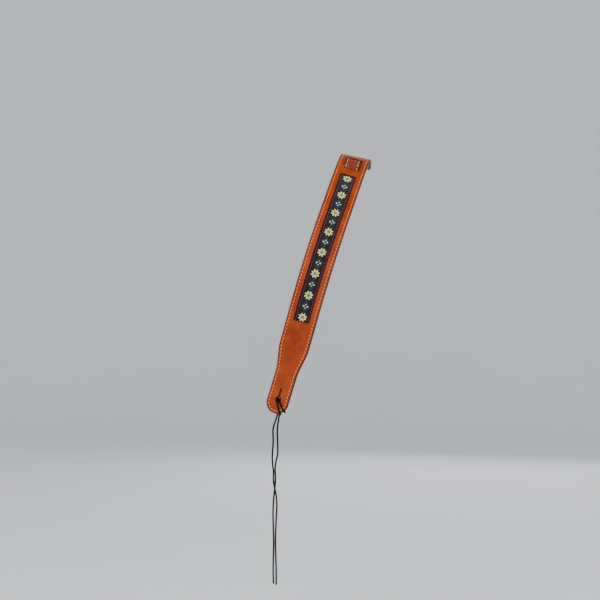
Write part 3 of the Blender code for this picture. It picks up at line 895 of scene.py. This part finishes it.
# ---------------------------------------------------------------------------------------------------------
# Lace: one round braided lace of black waxed cotton. A lark's head hitch holds it in the pad's button hole,
# round the edge of the tab, and its two ends hang free.
# ---------------------------------------------------------------------------------------------------------
LACE = 2.9
HITCH_ROUTE = (
    (521, 3.0, -5.8), (516.5, 2.6, -5.8), (512.5, 2.1, -5.5), (508.6, 1.0, -3.3), (504.5, -0.4, -2.1),
    (499, -1.6, -2.2), (495.6, -1.75, -0.9), (494.1, -1.55, 1.85), (496, -1.6, 4.8), (500.5, -0.2, 5.9),
    (507.5, 3.8, 6.0), (513.6, 7.5, 6.3), (517.3, 9.6, 5.4), (519, 10.6, 3.9), (519.3, 10.8, 1.85),
    (518.9, 10.5, -0.2), (517.3, 9.2, -1.9), (515, 6, -2.6), (513.6, 2.6, -2.4), (512, -0.8, -2.3),
    (509.3, -3.6, -2.9), (506.4, -3.9, -4.6), (504.6, -1.6, -5.7), (504.8, 2.2, -5.8), (506.6, 7.2, -5.0),
    (509, 12, -3.2), (511.6, 15.2, -2.1), (513.4, 16.9, -0.4), (513.4, 17, 1.85), (513.2, 16.9, 3.95),
    (511.8, 15.3, 5.6), (508.4, 12.4, 6.3), (501, 5.8, 5.9), (496.6, 2.2, 4.9), (494.1, 1.55, 1.85),
    (495.6, 1.75, -0.9), (499, 2.3, -2.2), (504.5, 3.4, -2.1), (508.6, 4.8, -3.3), (512.5, 5.8, -5.4),
    (516.5, 6.2, -5.9), (521, 6.6, -5.8),
)
# The free ends: (across, away, down) in millimetres from the hitch's lower end.
LEFT_END = (
    (0, 0, 0), (-1.6, -0.6, -5), (-4.4, -1.4, -13), (-6.8, -1.9, -22), (-6.9, -2.0, -31), (-6.6, -2.0, -42),
    (-7.3, -2.0, -54), (-8.2, -2.0, -68), (-7.6, -2.0, -80), (-6.2, -2.0, -93), (-6.2, -2.0, -108),
    (-4.0, -2.0, -121), (-1.4, -2.0, -134), (-0.6, -1.8, -150), (-1.6, -1.4, -170), (-2.4, -1.2, -192),
    (-2.8, -1.2, -215), (-2.2, -1.1, -238), (-1.6, -1.1, -260), (-1.8, -1.1, -281),
)
RIGHT_END = (
    (0, 0, 0), (-0.8, 0.5, -5), (-2.2, 1.2, -13), (-3.0, 1.6, -22), (-3.0, 1.8, -31), (-2.6, 1.9, -42),
    (-2.2, 2.0, -54), (-2.6, 2.0, -64), (-5.0, 2.1, -74), (-6.6, 2.1, -86), (-6.2, 2.2, -100),
    (-6.6, 2.2, -114), (-8.2, 2.0, -128), (-9.6, 1.8, -144), (-10.2, 1.6, -162), (-9.8, 1.5, -184),
    (-9.2, 1.5, -208), (-9.6, 1.4, -232), (-10.0, 1.4, -254), (-9.6, 1.4, -278),
)
LACE_RING = 0.5
LACE_SIDES = 20
PLAIT = 5.2
PLAIT_STRANDS = 4
PLAIT_RELIEF = 0.055
LACE_SPACE = 1.6
LACE_JOIN = 0.4
# Any direction that the lace doesn't start in: its first ring of points is set out from it.
FIRST_SIDE = (0.3, 0.5, 0.8)


def smooth_route(points, step):
    """Points every step or so along a smooth curve through the given ones."""
    route = [np.array(point, float) for point in points]
    result = [route[0]]
    for index in range(len(route) - 1):
        before = route[max(index - 1, 0)]
        start, end = route[index], route[index + 1]
        after = route[min(index + 2, len(route) - 1)]
        pieces = max(1, round(float(np.linalg.norm(end - start)) / step))
        for piece in range(1, pieces + 1):
            t = piece / pieces
            result.append(0.5 * (
                2 * start + (end - before) * t + (2 * before - 5 * start + 4 * end - after) * t * t
                + (3 * start - before - 3 * end + after) * t * t * t
            ))
    return np.array(result)


def plaited_lace(name, path, finish):
    """A closed round lace along points in millimetres, its surface raised where the strands cross."""
    ahead = np.gradient(path, axis=0)
    ahead /= np.linalg.norm(ahead, axis=1)[:, None]
    travelled = np.concatenate(([0], np.cumsum(np.linalg.norm(np.diff(path, axis=0), axis=1))))
    side = np.cross(ahead[0], FIRST_SIDE)
    angles = np.arange(LACE_SIDES) * 2 * math.pi / LACE_SIDES
    rings = []
    for place, way, far in zip(path, ahead, travelled):
        side = side - way * np.dot(side, way)
        side /= np.linalg.norm(side)
        other = np.cross(way, side)
        turn = 2 * math.pi * far / PLAIT
        right_hand = np.abs(np.sin(PLAIT_STRANDS / 2 * angles + turn))
        left_hand = np.abs(np.sin(PLAIT_STRANDS / 2 * angles - turn))
        radius = LACE / 2 * (1 - PLAIT_RELIEF + PLAIT_RELIEF * np.maximum(right_hand, left_hand))
        sideways, upwards = radius * np.cos(angles), radius * np.sin(angles)
        rings.append(place + np.outer(sideways, side) + np.outer(upwards, other))
    count, last = LACE_SIDES, len(path) - 1
    corners = np.concatenate(rings + [path[:1], path[-1:]]) * MM
    faces = []
    for ring in range(last):
        for spot in range(count):
            beside = (spot + 1) % count
            low, high = ring * count, (ring + 1) * count
            faces.append((low + spot, low + beside, high + beside, high + spot))
    for spot in range(count):
        beside = (spot + 1) % count
        faces.append((beside, spot, len(corners) - 2))
        faces.append((last * count + spot, last * count + beside, len(corners) - 1))
    mesh = bpy.data.meshes.new(name)
    mesh.from_pydata(corners.tolist(), [], faces)
    return finished(name, mesh, finish)


black_lace, tree, shader = new_finish("black_waxed_lace", Specular_IOR_Level=0.16)
fibres = spots(tree, 1800, 2)
patches = spots(tree, 160)
tree.links.new(
    shades(tree, patches, (0.3, tint(5, 5, 6)), (0.7, tint(14, 13, 14))), shader.inputs["Base Color"]
)
tree.links.new(
    work_out(tree, "ADD", 0.55, work_out(tree, "MULTIPLY", fibres, 0.3)), shader.inputs["Roughness"]
)
relief(tree, shader, (fibres, 0.5, 0.0003))

hitch_path = smooth_route(drape(HITCH_ROUTE) / MM, LACE_RING)
hitch = plaited_lace("hitch_of_lace", hitch_path, black_lace)
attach(hitch, "pad")
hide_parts("lace_hitch")
for side_name, start, route in (("left", hitch_path[0], LEFT_END), ("right", hitch_path[-1], RIGHT_END)):
    path = smooth_route(route, LACE_RING) + start - (0, 0, LACE_SPACE)
    path = np.concatenate(([start + (0, 0, LACE_JOIN)], path))
    piece = plaited_lace(f"{side_name}_end_of_lace", path, black_lace)
    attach(piece, f"lace_{side_name}")
    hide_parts(f"lace_{side_name}")

# ---------------------------------------------------------------------------------------------------------
# Studio: a painted pale floor that turns up into a round wall, with a large soft lamp at the left, a weaker
# one at the right to fill its shadows, and one behind that draws the edges.
# ---------------------------------------------------------------------------------------------------------
FLOOR_HEIGHT = -0.80
FLOOR_RADIUS = 3.4
WALL_TURN = 1.3
WALL_TOP = 3.2
WALL_SIDES = 64
WALL_STEPS = 12
WALL_WELD = 1e-5
ROOM_TINT = (0.8, 0.82, 0.85, 1)
ROOM_STRENGTH = 0.8
LAMPS = (
    ("key_lamp", (-1.3, -2.4, 1.6), 1.6, 72),
    ("fill_lamp", (2.2, -1.6, 0.4), 1.8, 26),
    ("back_lamp", (0.6, 2.2, 0.4), 1.6, 16),
)
profile = [(0.0, FLOOR_HEIGHT), (FLOOR_RADIUS / 2, FLOOR_HEIGHT)]
for angle in np.radians(np.linspace(0, 90, WALL_STEPS + 1)):
    profile.append((
        FLOOR_RADIUS + WALL_TURN * math.sin(angle), FLOOR_HEIGHT + WALL_TURN * (1 - math.cos(angle))
    ))
profile.append((FLOOR_RADIUS + WALL_TURN, WALL_TOP))
bm = bmesh.new()
for (near, low), (far, high) in zip(profile, profile[1:]):
    for spot in range(WALL_SIDES):
        this, other = (2 * math.pi * (spot + part) / WALL_SIDES for part in (0, 1))
        places = ((near, low, this), (far, high, this), (far, high, other), (near, low, other))
        bm.faces.new([bm.verts.new((r * math.cos(a), r * math.sin(a), z)) for r, z, a in places])
bmesh.ops.remove_doubles(bm, verts=bm.verts, dist=WALL_WELD)
studio_mesh = bpy.data.meshes.new("studio")
bm.to_mesh(studio_mesh)
bm.free()
studio_paint, tree, shader = new_finish("pale_studio_paint", Specular_IOR_Level=0.1, Roughness=0.9)
tree.links.new(
    shades(tree, spots(tree, 1.2), (0.2, tint(228, 229, 231)), (0.8, tint(234, 235, 237))),
    shader.inputs["Base Color"],
)
studio_mesh.materials.append(studio_paint)
studio_mesh.shade_smooth()
studio = bpy.data.objects.new("studio", studio_mesh)
bpy.context.scene.collection.objects.link(studio)
aim = (Vector(cad_low) + Vector(cad_high)) / 2
for name, place, size, power in LAMPS:
    lamp_data = bpy.data.lights.new(name, "AREA")
    lamp_data.shape = "SQUARE"
    lamp_data.size = size
    lamp_data.energy = power
    lamp = bpy.data.objects.new(name, lamp_data)
    lamp.location = place
    lamp.rotation_euler = (aim - Vector(place)).to_track_quat("-Z", "Y").to_euler()
    bpy.context.scene.collection.objects.link(lamp)
world = bpy.data.worlds.new("soft_room")
world.use_nodes = True
background = world.node_tree.nodes["Background"]
background.inputs["Color"].default_value = ROOM_TINT
background.inputs["Strength"].default_value = ROOM_STRENGTH
bpy.context.scene.world = world
